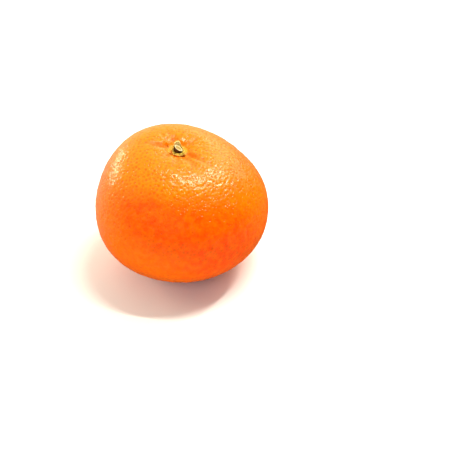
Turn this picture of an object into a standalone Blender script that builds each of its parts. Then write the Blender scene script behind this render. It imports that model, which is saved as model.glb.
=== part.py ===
"""Whole mandarin, standing on its blossom end.

Three pieces that are one thing in the hand: the rind-covered fruit, the cut stub of
the stem, and the small five-lobed calyx round it in the puckered stem end.
All lengths below are millimetres. The finished part is in metres with +Z up, the
origin on the ground under the middle of the fruit, and the front towards -Y.
"""

import bpy
import math

import numpy as np

MM = 0.001

# Body: a squat rounded form, measured from the stem axis at the widest level
EQUATOR_R = 33.7
TOP_H = 29.1
BOTTOM_H = 25.5
TOP_POWER = 2.05
BOTTOM_POWER = 2.2

# Uneven growth: fuller to the right and to the front, higher at the left and at the back
RIGHT_SWELL = 0.027
FRONT_SWELL = 0.063
LEFT_SHOULDER = 0.14
BACK_SHOULDER = 0.08
WAVE_3 = 0.0035
WAVE_5 = 0.0028

# Stem end: a wide soft basin, a collar of puckers, a flat seat for the calyx
BASIN_DEPTH = 4.0
BASIN_R = 8.5
SEAT_R = 3.55
SEAT_DROP = 0.35
COLLAR_RISE = 0.4
COLLAR_R = 5.9

# Furrows that run out from the seat: direction in degrees, reach, depth, width, bend in degrees
FURROWS = (
    (36.0, 15.0, 0.40, 2.6, 6.0),
    (107.0, 14.0, 0.38, 2.8, -6.0),
    (134.0, 10.5, 0.28, 1.7, -5.0),
    (172.0, 17.0, 0.78, 2.5, 4.0),
    (231.0, 15.0, 0.38, 2.8, 6.0),
    (266.0, 16.0, 0.40, 2.4, -4.0),
    (298.0, 18.0, 0.74, 2.6, 3.0),
    (321.0, 18.0, 0.82, 2.6, 5.0),
)

# Blossom end: the flat spot the fruit stands on, round a shallow dimple with a scar
FLAT_CLIP = 0.64
DIMPLE_R = 3.6
DIMPLE_DEPTH = 0.8
SCAR_R = 1.0
SCAR_RISE = 0.3

# Calyx: a ring round the stem with five uneven lobes. Each lobe: direction in degrees,
# reach, half spread in degrees, and how far its tip curls up
LOBES = (
    (-38.0, 3.8, 21.0, 0.8),
    (98.0, 3.2, 38.0, 2.4),
    (187.0, 2.65, 26.0, 0.4),
    (239.0, 3.45, 19.0, 0.45),
    (281.0, 3.5, 19.0, 0.4),
)
HOLE_R = 1.9
NOTCH_R = 2.5
RIM_THICK = 0.55
LOBE_THICK = 0.4

# Stem stub: short, a little oval, set a little to the front, cut on the slant
STUB_R = 1.6
STUB_H = 1.6
STEM_OFF_Y = -0.25
CUT_TILT_X = -0.52
CUT_TILT_Y = -0.05

# Clearance between pieces that touch in life
GAP = 0.3

# Where the stem axis passes, seen from the ground point under the middle of the fruit
AXIS_X = -1.0
AXIS_Y = 2.1
EQUATOR_Z = BOTTOM_H - FLAT_CLIP

SEGMENTS = 90


def smooth(low, high, value):
    """Soft step from 0 at low to 1 at high."""
    t = np.clip((value - low) / (high - low), 0.0, 1.0)
    return t * t * (3.0 - 2.0 * t)


def reach_at(phi):
    """Radius of the widest level in each direction."""
    swell = 1.0 + RIGHT_SWELL * np.cos(phi) - FRONT_SWELL * np.sin(phi)
    waves = WAVE_3 * np.cos(3.0 * phi + 1.1) + WAVE_5 * np.cos(5.0 * phi + 0.4)
    return EQUATOR_R * (swell + waves)


def furrow_field(r, phi):
    """Pucker height: furrows sink, the rind between them swells into a collar."""
    sunk = np.zeros(np.broadcast(r, phi).shape)
    shade = np.zeros(sunk.shape)
    for turn, reach, depth, width, bend in FURROWS:
        middle = math.radians(turn) + math.radians(bend) * (r - SEAT_R) / reach
        off = (phi - middle + math.pi) % (2.0 * math.pi) - math.pi
        half = 0.5 * width * (0.8 + 0.5 * r / reach)
        across = np.exp(-(r * off / half) ** 2)
        along = 1.0 - smooth(0.35 * reach, reach, r)
        sunk = sunk - depth * across * along
        shade = np.maximum(shade, across)
    collar = COLLAR_RISE * np.exp(-((r - COLLAR_R) / 2.6) ** 2) * (1.0 - shade)
    return sunk * smooth(SEAT_R, SEAT_R + 1.6, r) + collar * smooth(SEAT_R, SEAT_R + 1.2, r)


def seat_height(x, y):
    """Height of the tilted plane that the calyx sits on."""
    return TOP_H - BASIN_DEPTH - SEAT_DROP - LEFT_SHOULDER * x + BACK_SHOULDER * y


def top_height(r, phi, rise):
    """Upper surface at radius r, where rise is the plain body's height there."""
    x = r * np.cos(phi)
    y = r * np.sin(phi)
    steep = np.clip(rise / np.sqrt(r * r + rise * rise), 0.0, 1.0)
    tilt = (-LEFT_SHOULDER * x + BACK_SHOULDER * y) * steep * steep * (3.0 - 2.0 * steep)
    basin = -BASIN_DEPTH * np.exp(-(r / BASIN_R) ** 2)
    body = rise + tilt + basin + furrow_field(r, phi)
    wall = smooth(SEAT_R, SEAT_R + 1.3, r)
    return seat_height(x, y) * (1.0 - wall) + body * wall


def fruit_rings():
    """Rings of points from the stem end over the widest level to the blossom end."""
    phi = np.linspace(0.0, 2.0 * math.pi, SEGMENTS, endpoint=False)
    widest = reach_at(phi)
    rings = []

    near = (1.8, SEAT_R, 3.75, 4.15, 4.6, 5.2, 5.9, 6.8, 7.8, 8.8, 9.9, 11.1, 12.4, 13.8, 15.4, 17.2)
    for nominal in near:
        follow = smooth(8.0, 19.0, nominal)
        r = nominal * (widest / EQUATOR_R) ** follow
        rise = TOP_H * (1.0 - (r / widest) ** TOP_POWER) ** (1.0 / TOP_POWER)
        rings.append((r, top_height(r, phi, rise)))

    first = math.asin((19.2 / EQUATOR_R) ** (0.5 * TOP_POWER))
    for t in np.linspace(first, 0.5 * math.pi, 14):
        r = widest * math.sin(t) ** (2.0 / TOP_POWER)
        rise = TOP_H * max(math.cos(t), 0.0) ** (2.0 / TOP_POWER)
        rings.append((r, top_height(r, phi, rise)))

    floor = -(BOTTOM_H - FLAT_CLIP)
    edge = (1.0 - (-floor / BOTTOM_H) ** BOTTOM_POWER) ** (1.0 / BOTTOM_POWER)
    last = math.asin(edge ** (0.5 * BOTTOM_POWER))
    for t in np.linspace(0.5 * math.pi, last, 19)[1:-1]:
        r = widest * math.sin(t) ** (2.0 / BOTTOM_POWER)
        drop = BOTTOM_H * math.cos(t) ** (2.0 / BOTTOM_POWER)
        rings.append((r, np.full(SEGMENTS, -drop)))

    for share in (1.0, 0.8, 0.6):
        rings.append((share * edge * widest, np.full(SEGMENTS, floor)))
    for r in (DIMPLE_R, 2.9, 2.2, 1.6, SCAR_R, 0.5):
        rings.append((np.full(SEGMENTS, r), np.full(SEGMENTS, floor + dimple_height(r))))
    return phi, rings


def dimple_height(r):
    """Blossom-end dimple above the flat spot, with the small scar in its middle."""
    bowl = 0.5 * DIMPLE_DEPTH * (1.0 + math.cos(math.pi * min(r / DIMPLE_R, 1.0)))
    scar = 0.5 * SCAR_RISE * (1.0 + math.cos(math.pi * min(r / SCAR_R, 1.0)))
    return bowl - scar


def ring_faces(first, last, count):
    """Faces between two rings of points that start at these indices."""
    return [(first + j, last + j, last + (j + 1) % count, first + (j + 1) % count) for j in range(count)]


def capped_mesh(name, rings, top, bottom):
    """Closed skin through rings of points, from a top point down to a bottom point."""
    count = len(rings[0])
    points = [top]
    for ring in rings:
        points.extend(ring)
    points.append(bottom)
    faces = []
    end = 1 + (len(rings) - 1) * count
    for j in range(count):
        k = (j + 1) % count
        faces.append((0, 1 + j, 1 + k))
        faces.append((len(points) - 1, end + k, end + j))
    for i in range(len(rings) - 1):
        faces.extend(ring_faces(1 + i * count, 1 + (i + 1) * count, count))
    return smooth_object(name, points, faces)


def looped_mesh(name, rings):
    """Closed skin of a piece with a hole: the last ring of points joins the first."""
    count = len(rings[0])
    points = [point for ring in rings for point in ring]
    faces = []
    for i in range(len(rings)):
        faces.extend(ring_faces(i * count, (i + 1) % len(rings) * count, count))
    return smooth_object(name, points, faces)


def smooth_object(name, points, faces):
    """Smooth-shaded object from points in millimetres."""
    mesh = bpy.data.meshes.new(name)
    mesh.from_pydata([tuple(float(c) * MM for c in p) for p in points], [], faces)
    mesh.validate()
    mesh.update()
    obj = bpy.data.objects.new(name, mesh)
    bpy.context.scene.collection.objects.link(obj)
    for face in mesh.polygons:
        face.use_smooth = True
    return obj


def paint(obj, slot, colour, roughness):
    """Give a piece its own plain material."""
    material = bpy.data.materials.new(slot)
    material.use_nodes = True
    shader = material.node_tree.nodes["Principled BSDF"]
    shader.inputs["Base Color"].default_value = (*colour, 1.0)
    shader.inputs["Roughness"].default_value = roughness
    obj.data.materials.append(material)


def make_fruit():
    """The rind-covered fruit, one closed skin."""
    phi, rings = fruit_rings()
    loops = []
    for r, z in rings:
        x = AXIS_X + r * np.cos(phi)
        y = AXIS_Y + r * np.sin(phi)
        loops.append(list(zip(x, y, EQUATOR_Z + z)))
    top = (AXIS_X, AXIS_Y, EQUATOR_Z + seat_height(0.0, 0.0))
    bottom = (AXIS_X, AXIS_Y, dimple_height(0.0))
    fruit = capped_mesh("fruit", loops, top, bottom)
    paint(fruit, "rind", (1.0, 0.25, 0.01), 0.42)
    return fruit


def on_seat(x, y, h):
    """Point at height h above the tilted seat, measured square to it."""
    slope_x = -LEFT_SHOULDER
    slope_y = BACK_SHOULDER
    long = math.sqrt(1.0 + slope_x ** 2 + slope_y ** 2)
    base = seat_height(x, y)
    return (
        AXIS_X + x - slope_x / long * h,
        AXIS_Y + y - slope_y / long * h,
        EQUATOR_Z + base + h / long,
    )


def lobe_fields(a):
    """How far out the calyx reaches in a direction, and how far it curls up there."""
    reach = NOTCH_R
    curl = 0.0
    for turn, tip, spread, rise in LOBES:
        off = (a - math.radians(turn) + math.pi) % (2.0 * math.pi) - math.pi
        share = math.exp(-(off / math.radians(spread)) ** 2)
        reach += (tip - NOTCH_R) * share
        curl += rise * share
    return reach, curl


def make_calyx():
    """The calyx: a lobed ring, thickest round the stem."""
    count = 60
    angles = [2.0 * math.pi * j / count for j in range(count)]
    over = ((0.0, 1.0), (0.3, 1.0), (0.65, 1.0), (0.94, 0.9))
    under = ((1.0, 0.5), (0.94, 0.1), (0.5, 0.0), (0.0, 0.0))
    loops = []
    for share, thick in over + under:
        loop = []
        for a in angles:
            reach, curl = lobe_fields(a)
            r = HOLE_R + (reach - HOLE_R) * share
            body = RIM_THICK + (LOBE_THICK - RIM_THICK) * share
            h = GAP + curl * share ** 1.8 + thick * body
            loop.append(on_seat(r * math.cos(a), STEM_OFF_Y + r * math.sin(a), h))
        loops.append(loop)
    calyx = looped_mesh("calyx", loops)
    paint(calyx, "calyx", (0.55, 0.45, 0.13), 0.6)
    return calyx


def make_stub():
    """Short stem stub that passes through the calyx, with a slanted cut face."""
    count = 40
    angles = [2.0 * math.pi * j / count for j in range(count)]

    def outline(a, share):
        r = STUB_R * share * (1.0 + 0.04 * math.cos(2.0 * a + 0.6) + 0.02 * math.cos(3.0 * a))
        return r * math.cos(a), STEM_OFF_Y + r * math.sin(a)

    def cut(x, y, down):
        slant = CUT_TILT_X * x + CUT_TILT_Y * (y - STEM_OFF_Y)
        return on_seat(x, y, GAP + STUB_H + slant - down)

    loops = []
    for share, down in ((0.5, 0.0), (0.86, 0.0), (0.94, 0.06), (0.97, 0.16)):
        loops.append([cut(*outline(a, share), down) for a in angles])
    for share, h in ((0.97, 0.4), (0.92, 0.1), (0.84, 0.0)):
        loops.append([on_seat(*outline(a, share), GAP + h) for a in angles])
    top = cut(0.0, STEM_OFF_Y, 0.0)
    bottom = on_seat(0.0, STEM_OFF_Y, GAP)
    stub = capped_mesh("stem_stub", loops, top, bottom)
    paint(stub, "stem", (0.35, 0.26, 0.15), 0.75)
    return stub


for old in list(bpy.data.objects):
    bpy.data.objects.remove(old, do_unlink=True)

make_fruit()
make_calyx()
make_stub()
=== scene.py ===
"""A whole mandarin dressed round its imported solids: the rind, the calyx and the cut stem stub."""

import math

import bpy
import numpy as np
from mathutils import Matrix, Vector


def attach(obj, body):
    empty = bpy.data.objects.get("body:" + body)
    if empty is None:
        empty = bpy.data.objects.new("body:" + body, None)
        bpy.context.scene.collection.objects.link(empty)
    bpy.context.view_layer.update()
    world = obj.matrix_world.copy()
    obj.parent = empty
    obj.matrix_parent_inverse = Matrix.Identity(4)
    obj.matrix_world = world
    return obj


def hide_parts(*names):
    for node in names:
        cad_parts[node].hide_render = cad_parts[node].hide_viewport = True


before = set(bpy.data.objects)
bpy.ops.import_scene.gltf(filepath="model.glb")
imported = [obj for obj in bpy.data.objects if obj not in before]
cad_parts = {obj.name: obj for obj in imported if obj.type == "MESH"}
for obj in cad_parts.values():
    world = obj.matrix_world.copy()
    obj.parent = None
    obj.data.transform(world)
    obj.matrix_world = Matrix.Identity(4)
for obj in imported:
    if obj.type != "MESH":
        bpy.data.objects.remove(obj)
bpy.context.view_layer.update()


# Camera. A long lens in front of the fruit, looking down on it, with the fruit left of
# and above the middle of the square picture.

# Sizes are in millimetres, and metres where MM has turned them. The room's are in metres.
MM = 0.001
PICTURE_PX = 452
MM_PER_PX = 0.3937
LOOK_DOWN = math.radians(37.0)
AWAY = 500 * MM
SENSOR = 36.0
AXIS = Vector((-1.0, 2.1, 0.0)) * MM
EQUATOR_Z = 24.86
FRUIT_MIDDLE = AXIS + Vector((0.0, 0.0, EQUATOR_Z)) * MM
FRUIT_PX = (180.0, 201.9)

back = Vector((0.0, -math.cos(LOOK_DOWN), math.sin(LOOK_DOWN)))
up = Vector((0.0, math.sin(LOOK_DOWN), math.cos(LOOK_DOWN)))
eye = FRUIT_MIDDLE + back * AWAY
off_right = (0.5 * PICTURE_PX - FRUIT_PX[0]) * MM_PER_PX * MM
off_down = (0.5 * PICTURE_PX - FRUIT_PX[1]) * MM_PER_PX * MM
aim = FRUIT_MIDDLE + Vector((off_right, 0.0, 0.0)) - up * off_down

camera = bpy.data.objects.new("camera", bpy.data.cameras.new("camera"))
bpy.context.scene.collection.objects.link(camera)
camera.location = eye
camera.rotation_euler = (eye - aim).to_track_quat("Z", "Y").to_euler()
camera.data.sensor_width = SENSOR
camera.data.lens = SENSOR * AWAY / (PICTURE_PX * MM_PER_PX * MM)
camera.data.clip_start = 0.01
camera.data.clip_end = 20.0
bpy.context.scene.camera = camera


# Room. A white table under a soft sky that is bright behind, above and to the left. Narrow
# lamps above and at the right draw the crescent of glints, a window and a side lamp behind
# light the flanks, and a wide lamp in front, kept out of reflections, fills the shade.

SKY_WARM = (1.0, 0.9, 0.68, 1.0)
BRIGHT_SIDE = Vector((-0.44, 0.70, 0.56))
BRIGHT_FROM = 0.85
BRIGHT = 1.35
DIM = 0.08
CREAM = (1.0, 0.94, 0.78)
WARM = (1.0, 0.88, 0.62)
DAYLIGHT = (1.0, 1.0, 1.0)

# Each lamp: name, side it hangs at, its long way, distance, length, breadth, radiance, tint
LAMPS = (
    ("lamp_above", (0.25, 0.10, 0.963), (0.42, -0.14, -0.09), 0.8, 0.36, 0.038, 155.0, CREAM),
    ("lamp_right", (0.56, 0.30, 0.772), (0.22, 0.42, -0.32), 0.8, 0.48, 0.034, 112.0, CREAM),
    ("window", (0.52, 0.78, 0.40), (0.78, -0.52, 0.0), 1.0, 0.90, 0.50, 3.3, WARM),
    ("side_lamp", (-0.76, 0.62, 0.20), (0.62, 0.76, 0.0), 0.8, 0.50, 0.15, 20.0, WARM),
    ("fill_lamp", (-0.30, -0.78, 0.50), (1.0, -0.4, 0.0), 1.2, 1.40, 0.90, 2.2, DAYLIGHT),
)
TABLE_HALF = 1.5
TABLE_WHITE = (0.78, 0.80, 0.84, 1.0)
TABLE_ROUGHNESS = 0.4


def add_node(tree, kind, inputs=None, **settings):
    """New node in a tree. Each input, by name or number, is linked or set to a plain value."""
    made = tree.nodes.new(kind)
    for setting, value in settings.items():
        setattr(made, setting, value)
    for socket, source in (inputs or {}).items():
        if isinstance(source, bpy.types.NodeSocket):
            tree.links.new(source, made.inputs[socket])
        else:
            made.inputs[socket].default_value = source
    return made


def hang_lamp(name, towards, along, away, wide, deep, radiance, tint):
    """Oval lamp that faces the middle of the fruit."""
    area = 0.25 * math.pi * wide * deep
    lamp = bpy.data.objects.new(name, bpy.data.lights.new(name, "AREA"))
    bpy.context.scene.collection.objects.link(lamp)
    lamp.data.shape = "ELLIPSE"
    lamp.data.size = wide
    lamp.data.size_y = deep
    lamp.data.energy = radiance * math.pi * area
    lamp.data.color = tint
    facing = Vector(towards).normalized()
    across = facing.cross(Vector(along)).normalized()
    turn = Matrix((across.cross(facing), across, facing)).transposed()
    lamp.matrix_world = Matrix.Translation(FRUIT_MIDDLE + facing * away) @ turn.to_4x4()
    return lamp


world = bpy.data.worlds.new("room")
bpy.context.scene.world = world
world.use_nodes = True
sky = world.node_tree
towards_bright = add_node(
    sky,
    "ShaderNodeVectorMath",
    {0: add_node(sky, "ShaderNodeTexCoord").outputs["Generated"], 1: BRIGHT_SIDE.normalized()},
    operation="DOT_PRODUCT",
).outputs["Value"]
brightness = add_node(
    sky,
    "ShaderNodeMapRange",
    {"Value": towards_bright, "From Max": BRIGHT_FROM, "To Min": DIM, "To Max": BRIGHT},
    interpolation_type="SMOOTHSTEP",
)
sky.nodes["Background"].inputs["Color"].default_value = SKY_WARM
sky.links.new(brightness.outputs[0], sky.nodes["Background"].inputs["Strength"])
bpy.context.scene.view_settings.view_transform = "Standard"

lamps = {lamp[0]: hang_lamp(*lamp) for lamp in LAMPS}
lamps["fill_lamp"].visible_glossy = False

table_mesh = bpy.data.meshes.new("table")
corners = ((-1, -1), (1, -1), (1, 1), (-1, 1))
table_mesh.from_pydata([(x * TABLE_HALF, y * TABLE_HALF, 0.0) for x, y in corners], [], [(0, 1, 2, 3)])
table = bpy.data.objects.new("table", table_mesh)
bpy.context.scene.collection.objects.link(table)
table.visible_glossy = False
table_paint = bpy.data.materials.new("table_white")
table_paint.use_nodes = True
table_shader = table_paint.node_tree.nodes["Principled BSDF"]
table_shader.inputs["Base Color"].default_value = TABLE_WHITE
table_shader.inputs["Roughness"].default_value = TABLE_ROUGHNESS
table_mesh.materials.append(table_paint)


# Rind. The whole outside of the fruit is one skin: a squat uneven ball, gathered into
# puckers round the calyx, with a dimple and a small scar at the blossom end. It is waxy,
# full of oil glands, and each gland shows as a small round pit.

FRUIT_TALL = 53.0
EQUATOR_R = 33.7
TOP_H = 29.1
BOTTOM_H = 25.5
TOP_POWER = 2.05
BOTTOM_POWER = 2.2

# Uneven growth: fuller to the right and to the front, higher at the left and at the back
RIGHT_SWELL = 0.027
FRONT_SWELL = 0.063
LEFT_SHOULDER = 0.14
BACK_SHOULDER = 0.08
WAVE_3 = 0.0035
WAVE_5 = 0.0028

# Stem end: a wide soft basin, a collar of puckers, a flat seat for the calyx
BASIN_DEPTH = 4.0
BASIN_R = 8.5
SEAT_R = 3.55
SEAT_DROP = 0.35
COLLAR_RISE = 0.4
COLLAR_R = 5.9

# Furrows that run out from the seat: direction in degrees, reach, depth, width, bend in degrees
FURROWS = (
    (36.0, 15.0, 0.40, 2.6, 6.0),
    (107.0, 14.0, 0.38, 2.8, -6.0),
    (134.0, 10.5, 0.28, 1.7, -5.0),
    (172.0, 17.0, 0.78, 2.5, 4.0),
    (231.0, 15.0, 0.38, 2.8, 6.0),
    (266.0, 16.0, 0.40, 2.4, -4.0),
    (298.0, 18.0, 0.74, 2.6, 3.0),
    (321.0, 18.0, 0.82, 2.6, 5.0),
)
SHADED_DEPTH = 0.9

# Fine wrinkles that fade between two distances from the stem, and one soft fold by the calyx
WRINKLE_DEPTH = 0.09
WRINKLE_FADE = (5.0, 13.0)
FOLD_AT = (-4.9, 1.9)
FOLD_RISE = 0.55
FOLD_LONG = 1.5
FOLD_WIDE = 0.5

# Hollows round the calyx, sunk a little and painted dark as shadow under its edge: direction in
# degrees, distance out, half length, half width
CREASES = (
    (212.0, 3.5, 0.85, 0.8),
    (343.0, 3.5, 0.8, 0.5),
    (303.0, 3.8, 0.8, 0.5),
    (154.0, 4.2, 0.7, 0.5),
    (108.0, 5.6, 0.7, 0.6),
)
CREASE_DEPTH = 0.4

# Blossom end: the flat spot the fruit stands on, round a shallow dimple with a scar
FLAT_CLIP = 0.64
FLAT_SOFT = 0.12
DIMPLE_R = 3.6
DIMPLE_DEPTH = 0.8
SCAR_R = 1.0
SCAR_RISE = 0.3

# Painted shade, redder and darker patches across the front below the shoulder: direction, angle above
# the widest level and breadth, all in degrees
PAINTED_SHADE_PATCHES = (
    (-114.0, 32.0, 22.0),
    (-90.0, 26.0, 27.0),
    (-66.0, 8.0, 30.0),
)
RIND_CELLS = 128


def ball_lattice(cells):
    """Even grid of directions over a ball, and the quads that join them, facing out."""
    side = cells + 1
    a, b = np.meshgrid(np.arange(side), np.arange(side), indexing="ij")
    codes = []
    for axis in range(3):
        for end in (0, cells):
            parts = [a, b]
            parts.insert(axis, np.full_like(a, end))
            code = (parts[0] * side + parts[1]) * side + parts[2]
            turned = (end == 0) != (axis == 1)
            codes.append(code[:, ::-1] if turned else code)
    grid = np.stack(codes)
    used, index = np.unique(grid, return_inverse=True)
    index = index.reshape(grid.shape)
    round_quad = [index[:, :-1, :-1], index[:, 1:, :-1], index[:, 1:, 1:], index[:, :-1, 1:]]
    whole = np.stack([used // side ** 2, used // side % side, used % side], -1)
    spread = np.tan((2.0 * whole / cells - 1.0) * 0.25 * math.pi)
    outward = spread / np.linalg.norm(spread, axis=1, keepdims=True)
    return outward, np.stack(round_quad, -1).reshape(-1, 4)


def smooth(low, high, value):
    """Soft step from 0 at low to 1 at high."""
    t = np.clip((value - low) / (high - low), 0.0, 1.0)
    return t * t * (3.0 - 2.0 * t)


def turn_from(middle, turn):
    """Angle from middle to turn, within half a turn either way."""
    return (turn - middle + math.pi) % (2.0 * math.pi) - math.pi


def reach_at(phi):
    """Radius of the widest level in each direction."""
    swell = 1.0 + RIGHT_SWELL * np.cos(phi) - FRONT_SWELL * np.sin(phi)
    return EQUATOR_R * (swell + WAVE_3 * np.cos(3.0 * phi + 1.1) + WAVE_5 * np.cos(5.0 * phi + 0.4))


def furrow_fields(r, phi):
    """Pucker height, and how shaded each point is, up to 1 at the bottom of a deep furrow."""
    sunk = np.zeros_like(r)
    shade = np.zeros_like(r)
    inside = np.zeros_like(r)
    for turn, reach, depth, width, bend in FURROWS:
        middle = math.radians(turn) + math.radians(bend) * (r - SEAT_R) / reach
        half = 0.5 * width * (0.8 + 0.5 * r / reach)
        across = np.exp(-(r * turn_from(middle, phi) / half) ** 2)
        along = 1.0 - smooth(0.35 * reach, reach, r)
        sunk = sunk - depth * across * along
        shade = np.maximum(shade, across)
        inside = np.maximum(inside, across * along * depth / SHADED_DEPTH)
    collar = COLLAR_RISE * np.exp(-((r - COLLAR_R) / 2.6) ** 2) * (1.0 - shade)
    pucker = sunk * smooth(SEAT_R, SEAT_R + 1.6, r) + collar * smooth(SEAT_R, SEAT_R + 1.2, r)
    return pucker, inside


def wrinkles(r, phi):
    """Fine wrinkles that run out from the seat, and the soft fold beside it."""
    ridges = np.sin(11.0 * phi + 1.3 * np.sin(0.9 * r)) + np.sin(19.0 * phi + 0.5 * r)
    fade = smooth(SEAT_R, SEAT_R + 1.0, r) * (1.0 - smooth(*WRINKLE_FADE, r))
    along = r * turn_from(math.atan2(FOLD_AT[1], FOLD_AT[0]), phi) / FOLD_LONG
    across = (r - math.hypot(*FOLD_AT)) / FOLD_WIDE
    return WRINKLE_DEPTH * ridges * fade, FOLD_RISE * np.exp(-(across ** 2) - along ** 2)


def crease_field(r, phi):
    """How deep in one of the hollows, painted with shadow, each point lies, from 0 to 1."""
    inside = np.zeros_like(r)
    for turn, out, long, wide in CREASES:
        along = r * turn_from(math.radians(turn), phi) / long
        inside = np.maximum(inside, np.exp(-(along ** 2) - ((r - out) / wide) ** 2))
    return inside


def blush_field(outward):
    """How much painted shade, redder and darker, each direction gets, from 0 to 1."""
    redder = np.zeros(len(outward))
    for turn, rise, wide in PAINTED_SHADE_PATCHES:
        flat = math.cos(math.radians(rise))
        middle_x = flat * math.cos(math.radians(turn))
        middle_y = flat * math.sin(math.radians(turn))
        middle = np.array([middle_x, middle_y, math.sin(math.radians(rise))])
        away = np.degrees(np.arccos(np.clip(outward @ middle, -1.0, 1.0)))
        redder = np.maximum(redder, 1.0 - smooth(0.4 * wide, 1.5 * wide, away))
    return redder


def seat_height(x, y):
    """Height of the tilted plane that the calyx sits on."""
    return TOP_H - BASIN_DEPTH - SEAT_DROP - LEFT_SHOULDER * x + BACK_SHOULDER * y


def top_height(r, phi, rise, pucker):
    """Upper surface at radius r, where rise is the plain body's height there."""
    x = r * np.cos(phi)
    y = r * np.sin(phi)
    steep = np.clip(rise / np.sqrt(r * r + rise * rise + 1e-9), 0.0, 1.0)
    tilt = (-LEFT_SHOULDER * x + BACK_SHOULDER * y) * steep * steep * (3.0 - 2.0 * steep)
    body = rise + tilt - BASIN_DEPTH * np.exp(-((r / BASIN_R) ** 2)) + pucker
    wall = smooth(SEAT_R, SEAT_R + 1.3, r)
    return seat_height(x, y) * (1.0 - wall) + body * wall


def bottom_height(r, rise):
    """Lower surface: softly flattened where the fruit stands, with the blossom-end dimple."""
    floor = -(BOTTOM_H - FLAT_CLIP)
    above = rise - floor
    plain = floor + 0.5 * (above + np.sqrt(above * above + FLAT_SOFT ** 2))
    bowl = 0.5 * DIMPLE_DEPTH * (1.0 + np.cos(math.pi * np.minimum(r / DIMPLE_R, 1.0)))
    scar = 0.5 * SCAR_RISE * (1.0 + np.cos(math.pi * np.minimum(r / SCAR_R, 1.0)))
    return plain + bowl - scar


def make_piece(name, points, faces, **marks):
    """Smooth-shaded piece from its points and faces, with named values kept at the points."""
    mesh = bpy.data.meshes.new(name)
    mesh.from_pydata(points.tolist(), [], faces)
    mesh.polygons.foreach_set("use_smooth", [True] * len(mesh.polygons))
    for mark, values in marks.items():
        mesh.attributes.new(mark, "FLOAT", "POINT").data.foreach_set("value", values)
    piece = bpy.data.objects.new(name, mesh)
    bpy.context.scene.collection.objects.link(piece)
    return piece


directions, rind_quads = ball_lattice(RIND_CELLS)
level = np.hypot(directions[:, 0], directions[:, 1])
turn_of = np.arctan2(directions[:, 1], directions[:, 0])
upper = directions[:, 2] > 0.0
height_of = np.where(upper, TOP_H, BOTTOM_H)
power_of = np.where(upper, TOP_POWER, BOTTOM_POWER)
squat = (level / reach_at(turn_of)) ** power_of + (np.abs(directions[:, 2]) / height_of) ** power_of
length = squat ** (-1.0 / power_of)
rind_r = length * level
rise_of = length * directions[:, 2]
pucker, furrow = furrow_fields(rind_r, turn_of)
wrinkle, fold = wrinkles(rind_r, turn_of)
crease = np.where(upper, crease_field(rind_r, turn_of), 0.0)
pucker = pucker + wrinkle + fold - CREASE_DEPTH * crease
rind_z = np.where(
    upper,
    top_height(rind_r, turn_of, np.maximum(rise_of, 0.0), pucker),
    bottom_height(rind_r, rise_of),
)
rind_x = AXIS.x + rind_r * np.cos(turn_of) * MM
rind_y = AXIS.y + rind_r * np.sin(turn_of) * MM
rind = make_piece(
    "rind",
    np.stack([rind_x, rind_y, (EQUATOR_Z + rind_z) * MM], -1),
    rind_quads.tolist(),
    furrow=np.where(upper, furrow, 0.0),
    scar=np.where(upper, 0.0, 1.0 - smooth(0.5 * SCAR_R, 1.3 * SCAR_R, rind_r)),
    seat=np.where(upper, 1.0 - smooth(SEAT_R, SEAT_R + 1.5, rind_r), 0.0),
    crease=crease,
    blush=blush_field(directions),
)
rind_skin = bpy.data.materials.new("rind_skin")

# Relief: gland pits, broad lumps and close ripples, all fading out between two heights above
# the ground, so that the fruit stands on smooth rind
GLAND_SPACING = 1.25
GLANDS_PER_M2 = 3.0e6
GLAND_SEED = 4
PIT_DEPTH = 0.16
PIT_RADIUS = 0.46
LUMP_HEIGHT = 0.32
LUMP_SIZE = 9.0
RIPPLE_HEIGHT = 0.32
RIPPLE_SIZE = 2.2
SMOOTH_FOOT = (0.3, 3.0)


def maths(tree, operation, *sources, clamp=False):
    """Result of one operation on sockets and plain numbers."""
    settings = {"operation": operation, "use_clamp": clamp}
    return add_node(tree, "ShaderNodeMath", dict(enumerate(sources)), **settings).outputs[0]


def relief_tree(name, sizes):
    """Geometry Nodes tree with only its inputs and output: a piece, named sizes and a skin."""
    tree = bpy.data.node_groups.new(name, "GeometryNodeTree")
    face = tree.interface
    face.new_socket("Piece", in_out="INPUT", socket_type="NodeSocketGeometry")
    for size in sizes:
        face.new_socket(size, in_out="INPUT", socket_type="NodeSocketFloat")
    face.new_socket("Skin", in_out="INPUT", socket_type="NodeSocketMaterial")
    face.new_socket("Piece", in_out="OUTPUT", socket_type="NodeSocketGeometry")
    return tree


def swelling(tree, size, height):
    """Soft hills and hollows of one size, with height from the lowest to the highest."""
    place = add_node(tree, "GeometryNodeInputPosition").outputs[0]
    scale = maths(tree, "DIVIDE", 1.0, size)
    noise = add_node(tree, "ShaderNodeTexNoise", {"Vector": place, "Scale": scale})
    return maths(tree, "MULTIPLY", maths(tree, "SUBTRACT", noise.outputs["Fac"], 0.5), height)


def push_and_dress(tree, relief, mark, value):
    """Move the piece's points along their normals, keep value on them, and add the skin."""
    given = add_node(tree, "NodeGroupInput").outputs
    normal = add_node(tree, "GeometryNodeInputNormal").outputs[0]
    push = add_node(tree, "ShaderNodeVectorMath", {0: normal, "Scale": relief}, operation="SCALE")
    move = {"Geometry": given["Piece"], "Offset": push.outputs[0]}
    moved = add_node(tree, "GeometryNodeSetPosition", move)
    keep = {"Geometry": moved.outputs[0], "Name": mark, "Value": value}
    marked = add_node(tree, "GeometryNodeStoreNamedAttribute", keep, data_type="FLOAT", domain="POINT")
    whole = add_node(tree, "GeometryNodeRealizeInstances", {"Geometry": marked.outputs[0]})
    dress = {"Geometry": whole.outputs[0], "Material": given["Skin"]}
    dressed = add_node(tree, "GeometryNodeSetMaterial", dress)
    add_node(tree, "NodeGroupOutput", {0: dressed.outputs[0]})


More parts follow.
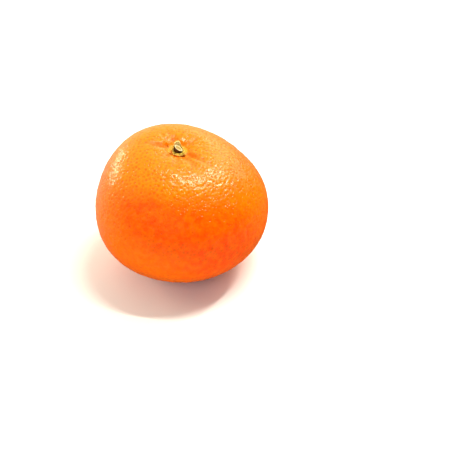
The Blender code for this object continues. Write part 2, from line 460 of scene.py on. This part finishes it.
def gland_tree():
    """Tree that sinks a round pit over every oil gland and gives the rind its soft lumps."""
    pit_sizes = ("Gland spacing", "Pit depth", "Pit radius")
    swell_sizes = ("Lump height", "Lump size", "Ripple height", "Ripple size")
    tree = relief_tree("oil_glands", pit_sizes + swell_sizes)
    tree.interface.new_socket("Seed", in_out="INPUT", socket_type="NodeSocketInt")
    given = add_node(tree, "NodeGroupInput").outputs
    place = add_node(tree, "GeometryNodeInputPosition").outputs[0]
    sown = {
        "Mesh": given["Piece"],
        "Distance Min": given["Gland spacing"],
        "Density Max": GLANDS_PER_M2,
        "Seed": given["Seed"],
    }
    scatter = add_node(tree, "GeometryNodeDistributePointsOnFaces", sown, distribute_method="POISSON")
    glands = scatter.outputs["Points"]
    nearest = add_node(tree, "GeometryNodeSampleNearest", {"Geometry": glands}).outputs[0]

    def at_nearest(value, kind):
        sampled = {"Geometry": glands, "Value": value, "Index": nearest}
        return add_node(tree, "GeometryNodeSampleIndex", sampled, data_type=kind).outputs[0]

    middle = at_nearest(place, "FLOAT_VECTOR")
    drawn = at_nearest(add_node(tree, "FunctionNodeRandomValue").outputs[1], "FLOAT")
    apart = add_node(tree, "ShaderNodeVectorMath", {0: place, 1: middle}, operation="DISTANCE")
    share = maths(tree, "DIVIDE", apart.outputs["Value"], given["Pit radius"])
    bowl = maths(tree, "EXPONENT", maths(tree, "MULTIPLY", maths(tree, "MULTIPLY", share, share), -1.0))
    pit = maths(tree, "MULTIPLY", bowl, maths(tree, "MULTIPLY_ADD", drawn, 0.8, 0.4))
    lump = swelling(tree, given["Lump size"], given["Lump height"])
    lump = maths(tree, "ADD", lump, swelling(tree, given["Ripple size"], given["Ripple height"]))
    off_ground = add_node(
        tree,
        "ShaderNodeMapRange",
        {
            "Value": add_node(tree, "ShaderNodeSeparateXYZ", {0: place}).outputs["Z"],
            "From Min": SMOOTH_FOOT[0] * MM,
            "From Max": SMOOTH_FOOT[1] * MM,
        },
        interpolation_type="SMOOTHSTEP",
    )
    relief = maths(tree, "SUBTRACT", lump, maths(tree, "MULTIPLY", pit, given["Pit depth"]))
    push_and_dress(tree, maths(tree, "MULTIPLY", relief, off_ground.outputs[0]), "pit", pit)
    return tree


def run_tree(piece, tree, values):
    """Run a tree on a piece with the named values, and keep the plain mesh it makes."""
    modifier = piece.modifiers.new(tree.name, "NODES")
    modifier.node_group = tree
    for item in tree.interface.items_tree:
        if item.in_out == "INPUT" and item.name in values:
            modifier[item.identifier] = values[item.name]
    ready = piece.evaluated_get(bpy.context.evaluated_depsgraph_get())
    piece.data = bpy.data.meshes.new_from_object(ready)
    piece.modifiers.clear()


run_tree(
    rind,
    gland_tree(),
    {
        "Gland spacing": GLAND_SPACING * MM,
        "Pit depth": PIT_DEPTH * MM,
        "Pit radius": PIT_RADIUS * MM,
        "Lump height": LUMP_HEIGHT * MM,
        "Lump size": LUMP_SIZE * MM,
        "Ripple height": RIPPLE_HEIGHT * MM,
        "Ripple size": RIPPLE_SIZE * MM,
        "Seed": GLAND_SEED,
        "Skin": rind_skin,
    },
)

# Colour: orange cheeks, amber shoulders partly painted paler as a painted highlight, a redder band of
# painted shade across the front, darker pits, painted shade in the furrows, painted shadow in the
# hollows by the calyx, and a brown scar
CHEEK_ORANGE = (1.0, 0.14, 0.0, 1.0)
SHOULDER_AMBER_AND_LIGHT = (1.0, 0.183, 0.0, 1.0)
PAINTED_SHADE_ORANGE = (1.0, 0.066, 0.0, 1.0)
PALE_PATCH = (1.0, 0.2, 0.0, 1.0)
PIT_ORANGE = (0.60, 0.085, 0.0, 1.0)
FURROW_SHADE_ORANGE = (0.42, 0.115, 0.0, 1.0)
SEAT_AMBER = (0.95, 0.29, 0.015, 1.0)
CREASE_SHADOW_BROWN = (0.17, 0.06, 0.0, 1.0)
SCAR_BROWN = (0.16, 0.06, 0.015, 1.0)
PORE_SPACING = 1.0
PORE_DEPTH = 0.09
PORE_EDGE = (0.05, 0.42)
RIND_SHINE = 0.2


def grey(level):
    """Mask colour, from 0 for none to 1 for all."""
    return (level, level, level, 1.0)


def mottle_group():
    """Shader effect: soft uneven patches of a given size, from 0 to 1 about a half."""
    group = bpy.data.node_groups.new("mottle", "ShaderNodeTree")
    face = group.interface
    face.new_socket("Vector", in_out="INPUT", socket_type="NodeSocketVector")
    face.new_socket("Patch size", in_out="INPUT", socket_type="NodeSocketFloat")
    face.new_socket("Contrast", in_out="INPUT", socket_type="NodeSocketFloat")
    face.new_socket("Mask", in_out="OUTPUT", socket_type="NodeSocketFloat")
    given = add_node(group, "NodeGroupInput").outputs
    scale = maths(group, "DIVIDE", 1.0, given["Patch size"])
    pattern = {"Vector": given["Vector"], "Scale": scale, "Detail": 3.0}
    noise = add_node(group, "ShaderNodeTexNoise", pattern).outputs["Fac"]
    centred = maths(group, "SUBTRACT", noise, 0.5)
    mask = maths(group, "MULTIPLY_ADD", centred, given["Contrast"], 0.5, clamp=True)
    add_node(group, "NodeGroupOutput", {"Mask": mask})
    return group


MOTTLE = mottle_group()


class Brush:
    """Short hand for painting one skin with masks, colours and fine bumps."""

    def __init__(self, skin):
        skin.use_nodes = True
        self.tree = skin.node_tree
        self.place = add_node(self.tree, "ShaderNodeTexCoord").outputs["Object"]

    def maths(self, operation, *sources, clamp=False):
        return maths(self.tree, operation, *sources, clamp=clamp)

    def attribute(self, name):
        """Value kept at the piece's points."""
        return add_node(self.tree, "ShaderNodeAttribute", attribute_name=name).outputs["Fac"]

    def part_of(self, name, share):
        """Share of a kept value, held between 0 and 1."""
        return self.maths("MULTIPLY", self.attribute(name), share, clamp=True)

    def mottle(self, patch, contrast, offset=(0.0, 0.0, 0.0)):
        """Uneven patches. The offset shifts them away from those of another layer."""
        spot = add_node(self.tree, "ShaderNodeMapping", {"Vector": self.place, "Location": offset})
        pattern = {"Vector": spot.outputs[0], "Patch size": patch * MM, "Contrast": contrast}
        return add_node(self.tree, "ShaderNodeGroup", pattern, node_tree=MOTTLE).outputs["Mask"]

    def mix(self, share, first, second):
        """First colour where share is 0, second where it is 1."""
        colours = {"Factor": share, 6: first, 7: second}
        return add_node(self.tree, "ShaderNodeMix", colours, data_type="RGBA").outputs[2]

    def ramp(self, share, *stops):
        """Colour that runs from stop to stop, each a share and its colour."""
        made = add_node(self.tree, "ShaderNodeValToRGB", {0: share})
        while len(made.color_ramp.elements) < len(stops):
            made.color_ramp.elements.new(0.5)
        for element, (at, colour) in zip(made.color_ramp.elements, stops):
            element.position = at
            element.color = colour
        return made.outputs[0]

    def bump(self, height, depth, strength):
        """Grain too fine for the mesh."""
        relief = {"Height": height, "Distance": depth * MM, "Strength": strength}
        return add_node(self.tree, "ShaderNodeBump", relief).outputs[0]

    def finish(self, colour, roughness, normal, shine):
        """Put the layers on the skin."""
        shader = self.tree.nodes["Principled BSDF"]
        self.tree.links.new(colour, shader.inputs["Base Color"])
        self.tree.links.new(roughness, shader.inputs["Roughness"])
        self.tree.links.new(normal, shader.inputs["Normal"])
        shader.inputs["Specular IOR Level"].default_value = shine


brush = Brush(rind_skin)
height = add_node(brush.tree, "ShaderNodeSeparateXYZ", {0: brush.place}).outputs["Z"]
height_share = brush.maths("DIVIDE", height, FRUIT_TALL * MM)
drift = brush.maths("MULTIPLY_ADD", brush.mottle(14.0, 1.6), 0.06, -0.03)
height_share = brush.maths("ADD", height_share, drift)
# Paler towards the top: partly the rind's own amber, partly a painted highlight of the light from
# above.
colour = brush.ramp(height_share, (0.80, CHEEK_ORANGE), (0.90, SHOULDER_AMBER_AND_LIGHT))
# Painted shade: a redder, darker band across the front, below the shoulder.
uneven = brush.maths("MULTIPLY_ADD", brush.mottle(12.0, 1.6, (0.7, 0.0, 0.0)), 0.2, 0.9)
below_shoulder = brush.ramp(height_share, (0.79, grey(1.0)), (0.88, grey(0.0)))
uneven = brush.maths("MULTIPLY", uneven, below_shoulder)
blush_share = brush.maths("MULTIPLY", brush.attribute("blush"), uneven, clamp=True)
colour = brush.mix(blush_share, colour, PAINTED_SHADE_ORANGE)
pale_share = brush.maths("MULTIPLY", brush.mottle(2.2, 3.2, (0.3, 0.0, 0.0)), 0.42)
colour = brush.mix(pale_share, colour, PALE_PATCH)
# Painted shade in the furrows, darkest at the bottom of the deep ones.
colour = brush.mix(brush.part_of("furrow", 0.8), colour, FURROW_SHADE_ORANGE)
towards_top = brush.ramp(height_share, (0.45, grey(0.45)), (0.85, grey(1.0)))
colour = brush.mix(brush.part_of("pit", towards_top), colour, PIT_ORANGE)
colour = brush.mix(brush.part_of("seat", 0.75), colour, SEAT_AMBER)
# Painted shadow in the hollows against the calyx's edge.
colour = brush.mix(brush.part_of("crease", 0.95), colour, CREASE_SHADOW_BROWN)
colour = brush.mix(brush.attribute("scar"), colour, SCAR_BROWN)
rough = brush.maths("MULTIPLY_ADD", brush.mottle(3.0, 2.0), 0.08, 0.17)
rough = brush.maths("MULTIPLY_ADD", brush.attribute("furrow"), 0.5, rough)
pore_cells = {"Vector": brush.place, "Scale": 1.0 / (PORE_SPACING * MM)}
pores = add_node(brush.tree, "ShaderNodeTexVoronoi", pore_cells).outputs["Distance"]
pore_edges = {"Value": pores, "From Min": PORE_EDGE[0], "From Max": PORE_EDGE[1]}
pore_wall = add_node(brush.tree, "ShaderNodeMapRange", pore_edges, interpolation_type="SMOOTHSTEP")
brush.finish(colour, rough, brush.bump(pore_wall.outputs[0], PORE_DEPTH, 1.0), RIND_SHINE)

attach(rind, "root")
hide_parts("fruit")


# Calyx. Five small sepals grown together in a ring round the stem, and fast to the rind
# under them. They have dried, so they are woody, cream to olive, with ribs that run out
# to crumpled, curled-up tips, and the one at the back stands up.

# Each lobe: direction in degrees, reach, half spread in degrees, and how far its tip curls up
LOBES = (
    (-38.0, 3.8, 21.0, 0.8),
    (98.0, 3.2, 38.0, 2.4),
    (187.0, 2.65, 26.0, 0.4),
    (239.0, 3.45, 19.0, 0.45),
    (281.0, 3.5, 19.0, 0.4),
)
CALYX_HOLE_R = 1.66
NOTCH_R = 2.5
RIM_THICK = 0.55
LOBE_THICK = 0.4
STEM_OFF_Y = -0.25
CALYX_SINK = 0.1
CALYX_COLUMNS = 260
RIB_HEIGHT = 0.13
FINE_RIBS = 17.0
BROAD_RIBS = 8.0
SEPAL_CREAM = (0.66, 0.42, 0.06, 1.0)
SEPAL_PAINTED_LIGHT = (0.90, 0.72, 0.26, 1.0)
SEPAL_OLIVE = (0.24, 0.18, 0.01, 1.0)
SEPAL_SHADE_BROWN = (0.20, 0.09, 0.0, 1.0)
SEPAL_SHINE = 0.3


def on_seat(x, y, h):
    """Points at height h above the tilted seat, measured square to it."""
    long = math.sqrt(1.0 + LEFT_SHOULDER ** 2 + BACK_SHOULDER ** 2)
    place_x = AXIS.x / MM + x + LEFT_SHOULDER / long * h
    place_y = AXIS.y / MM + y - BACK_SHOULDER / long * h
    place_z = EQUATOR_Z + seat_height(x, y) + h / long
    return np.stack([place_x, place_y, place_z], -1) * MM


def rows_of_quads(rows, columns, looped):
    """Quads between rings of points, and from the last ring to the first if looped."""
    last = rows if looped else rows - 1
    row, column = np.meshgrid(np.arange(last), np.arange(columns), indexing="ij")
    here = row * columns
    below = (row + 1) % rows * columns
    beside = (column + 1) % columns
    quads = [here + column, below + column, below + beside, here + beside]
    return np.stack(quads, -1).reshape(-1, 4).tolist()


def lobe_fields(turn):
    """How far out the ragged calyx reaches in each direction, and how far it curls up there."""
    reach = np.full_like(turn, NOTCH_R)
    curl = np.zeros_like(turn)
    for middle, tip, spread, rise in LOBES:
        share = np.exp(-(turn_from(math.radians(middle), turn) / math.radians(spread)) ** 2)
        reach = reach + (tip - NOTCH_R) * share
        curl = curl + rise * share
    ragged = 1.0 + 0.02 * np.sin(17.0 * turn + 0.7) + 0.016 * np.sin(29.0 * turn)
    return reach * ragged, curl


def calyx_profile():
    """Shares of the way out and of the thickness, over the top, round the edge and back below."""
    over = [(share, 1.0 - 0.12 * share) for share in np.linspace(0.0, 0.96, 26)]
    edge = [(0.985, 0.75), (1.0, 0.5), (0.985, 0.25)]
    under = [(share, 0.0) for share in np.linspace(0.96, 0.0, 12)]
    inside = [(0.0, 0.25), (0.0, 0.5), (0.0, 0.75)]
    return np.array(over + edge + under + inside)


calyx_turn = np.linspace(0.0, 2.0 * math.pi, CALYX_COLUMNS, endpoint=False)
profile = calyx_profile()
out_share, turn_grid = np.meshgrid(profile[:, 0], calyx_turn, indexing="ij")
thick_share = np.broadcast_to(profile[:, 1:2], out_share.shape)
reach, curl = lobe_fields(turn_grid)
calyx_r = CALYX_HOLE_R + (reach - CALYX_HOLE_R) * out_share
rib = np.cos(FINE_RIBS * turn_grid + 2.0 * out_share) + 0.8 * np.cos(BROAD_RIBS * turn_grid + 1.0)
rib = RIB_HEIGHT * rib * np.sin(math.pi * out_share) ** 0.5 * thick_share
thick = RIM_THICK + (LOBE_THICK - RIM_THICK) * out_share
calyx_h = CALYX_SINK + curl * smooth(0.05, 0.85, out_share) + thick_share * thick + rib
calyx_x = calyx_r * np.cos(turn_grid)
calyx_y = STEM_OFF_Y + calyx_r * np.sin(turn_grid)
calyx = make_piece(
    "calyx",
    on_seat(calyx_x, calyx_y, calyx_h).reshape(-1, 3),
    rows_of_quads(len(profile), CALYX_COLUMNS, True),
    tip=out_share.ravel(),
    rib=rib.ravel() / RIB_HEIGHT,
    upright=np.clip(curl / max(rise for _, _, _, rise in LOBES), 0.0, 1.0).ravel(),
)
calyx_skin = bpy.data.materials.new("calyx_skin")


def crinkle_tree():
    """Tree that crinkles a small dry piece, both coarse and fine."""
    tree = relief_tree("dry_crinkle", ("Coarse size", "Coarse height", "Fine size", "Fine height"))
    given = add_node(tree, "NodeGroupInput").outputs
    coarse = swelling(tree, given["Coarse size"], given["Coarse height"])
    relief = maths(tree, "ADD", coarse, swelling(tree, given["Fine size"], given["Fine height"]))
    push_and_dress(tree, relief, "crinkle", maths(tree, "DIVIDE", relief, given["Coarse height"]))
    return tree


CRINKLE = crinkle_tree()
run_tree(
    calyx,
    CRINKLE,
    {
        "Coarse size": 1.3 * MM,
        "Coarse height": 0.55 * MM,
        "Fine size": 0.35 * MM,
        "Fine height": 0.16 * MM,
        "Skin": calyx_skin,
    },
)

brush = Brush(calyx_skin)
colour = brush.mix(brush.mottle(0.9, 3.2), SEPAL_OLIVE, SEPAL_CREAM)
edge_share = brush.ramp(brush.attribute("tip"), (0.62, grey(0.0)), (0.95, grey(0.75)))
colour = brush.mix(edge_share, colour, SEPAL_CREAM)
# Painted light: the upright back sepal is painted paler, as if lit from above.
upright = brush.ramp(brush.attribute("upright"), (0.35, grey(0.0)), (0.7, grey(0.85)))
colour = brush.mix(upright, colour, SEPAL_PAINTED_LIGHT)
# Painted shade in the low parts of the crinkles and between the ribs.
sunk = brush.maths("MULTIPLY_ADD", brush.attribute("crinkle"), -1.6, 0.05, clamp=True)
colour = brush.mix(sunk, colour, SEPAL_SHADE_BROWN)
between_ribs = brush.maths("MULTIPLY_ADD", brush.attribute("rib"), -0.7, -0.2, clamp=True)
colour = brush.mix(between_ribs, colour, SEPAL_SHADE_BROWN)
rough = brush.maths("MULTIPLY_ADD", brush.mottle(0.5, 2.0), 0.2, 0.5)
brush.finish(colour, rough, brush.bump(brush.mottle(0.12, 2.0), 0.04, 0.7), SEPAL_SHINE)

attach(calyx, "root")
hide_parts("calyx")


# Stem stub. The last bit of the twig, grown into the fruit and snipped on the slant. Its
# bark is nearly black and ribbed lengthwise. The cut face is pale wood, palest at the rim,
# with a greenish spotty ring and a few dark marks.

STUB_R = 1.6
STUB_H = 1.6
STUB_FOOT = 0.15
CUT_SINK = 0.3
CUT_TILT_X = -0.52
CUT_TILT_Y = -0.05
CUT_ROWS = 30
BARK_ROWS = 36
STUB_COLUMNS = 180
BARK_RIB = 0.035
BARK_DROP = 0.05
BARK_MARK = 1.2

# Dark marks in the cut wood: their middles, and the half length, half width and slant of each
STREAKS = ((-0.75, -0.75), (0.15, 0.15), (0.75, -0.3))
STREAK_LONG = 0.4
STREAK_WIDE = 0.2
STREAK_SLANT = 0.5
CUT_CREAM = (0.42, 0.28, 0.07, 1.0)
CUT_TAN = (0.34, 0.23, 0.05, 1.0)
CUT_PALE = (0.72, 0.60, 0.36, 1.0)
CUT_GREEN = (0.26, 0.25, 0.10, 1.0)
CUT_STREAK = (0.07, 0.06, 0.015, 1.0)
BARK_DARK = (0.020, 0.008, 0.002, 1.0)
BARK_BROWN = (0.10, 0.045, 0.012, 1.0)
STUB_SHINE = 0.25


def stub_outline(turn, share):
    """A point of the stub's outline, scaled by share, with the ribs of the bark in it."""
    oval = 1.0 + 0.04 * np.cos(2.0 * turn + 0.6) + 0.02 * np.cos(3.0 * turn)
    ribs = np.sin(13.0 * turn + 0.8) + 0.7 * np.sin(22.0 * turn)
    r = STUB_R * share * oval * (1.0 + BARK_RIB * ribs * smooth(0.8, 1.0, share))
    return r * np.cos(turn), STEM_OFF_Y + r * np.sin(turn)


def cut_height(x, y):
    """Height of the slanted cut above the seat."""
    return CUT_SINK + STUB_H + CUT_TILT_X * x + CUT_TILT_Y * (y - STEM_OFF_Y)


stub_turn = np.linspace(0.0, 2.0 * math.pi, STUB_COLUMNS, endpoint=False)
cut_share = np.linspace(0.02, 0.97, CUT_ROWS)[:, None]
cut_x, cut_y = stub_outline(stub_turn, cut_share)
raised = 0.05 * np.exp(-((cut_share - 0.8) / 0.07) ** 2) - 0.06 * np.exp(-(cut_share / 0.15) ** 2)
cut_rings = on_seat(cut_x, cut_y, cut_height(cut_x, cut_y) + raised)
down_share = np.linspace(0.0, 1.0, BARK_ROWS)[:, None]
flare = 1.0 + 0.07 * down_share ** 2 - 0.03 * (1.0 - smooth(0.0, 0.12, down_share))
bark_x, bark_y = stub_outline(stub_turn, flare)
bark_top = cut_height(bark_x, bark_y) - BARK_DROP
bark_rings = on_seat(bark_x, bark_y, bark_top + (STUB_FOOT - bark_top) * down_share)
stub_rings = np.concatenate([cut_rings, bark_rings])
ends = np.stack([stub_rings[0].mean(0), stub_rings[-1].mean(0)])
stub_points = np.concatenate([stub_rings.reshape(-1, 3), ends])
stub_faces = rows_of_quads(len(stub_rings), STUB_COLUMNS, False)
top_index = len(stub_points) - 2
foot_start = (len(stub_rings) - 1) * STUB_COLUMNS
for column in range(STUB_COLUMNS):
    beside = (column + 1) % STUB_COLUMNS
    stub_faces.append((top_index, column, beside))
    stub_faces.append((top_index + 1, foot_start + beside, foot_start + column))

streak = np.zeros(len(stub_points))
for at_x, at_y in STREAKS:
    along = (cut_x - at_x) / STREAK_LONG
    across = (cut_y - at_y + STREAK_SLANT * (cut_x - at_x)) / STREAK_WIDE
    spot = np.exp(-(along ** 2) - across ** 2).ravel()
    streak[:spot.size] = np.maximum(streak[:spot.size], spot)
ring = np.full(len(stub_points), BARK_MARK)
ring[:CUT_ROWS * STUB_COLUMNS] = np.repeat(cut_share, STUB_COLUMNS)
ring[top_index] = 0.0
stub = make_piece("stem_stub", stub_points, stub_faces, ring=ring, streak=streak)
stub_skin = bpy.data.materials.new("stub_skin")
run_tree(
    stub,
    CRINKLE,
    {
        "Coarse size": 0.9 * MM,
        "Coarse height": 0.2 * MM,
        "Fine size": 0.25 * MM,
        "Fine height": 0.09 * MM,
        "Skin": stub_skin,
    },
)

brush = Brush(stub_skin)
ring_at = brush.attribute("ring")
wood = brush.mix(brush.mottle(0.5, 2.4), CUT_CREAM, CUT_TAN)
green_ring = brush.ramp(ring_at, (0.22, grey(0.0)), (0.42, grey(1.0)), (0.62, grey(0.0)))
spotty = brush.maths("MULTIPLY", green_ring, brush.mottle(0.6, 6.0, (0.0, 0.2, 0.0)), clamp=True)
wood = brush.mix(spotty, wood, CUT_GREEN)
pale_rim = brush.ramp(ring_at, (0.55, grey(0.0)), (0.8, grey(1.0)))
wood = brush.mix(brush.maths("MULTIPLY", pale_rim, 0.8), wood, CUT_PALE)
wood = brush.mix(brush.attribute("streak"), wood, CUT_STREAK)
bark = brush.mix(brush.mottle(0.35, 3.0), BARK_DARK, BARK_BROWN)
is_bark = brush.ramp(ring_at, (0.9, grey(0.0)), (0.99, grey(1.0)))
colour = brush.mix(is_bark, wood, bark)
rough = brush.maths("MULTIPLY_ADD", brush.mottle(0.4, 2.0), 0.2, 0.6)
brush.finish(colour, rough, brush.bump(brush.mottle(0.1, 2.0), 0.04, 0.7), STUB_SHINE)

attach(stub, "root")
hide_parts("stem_stub")
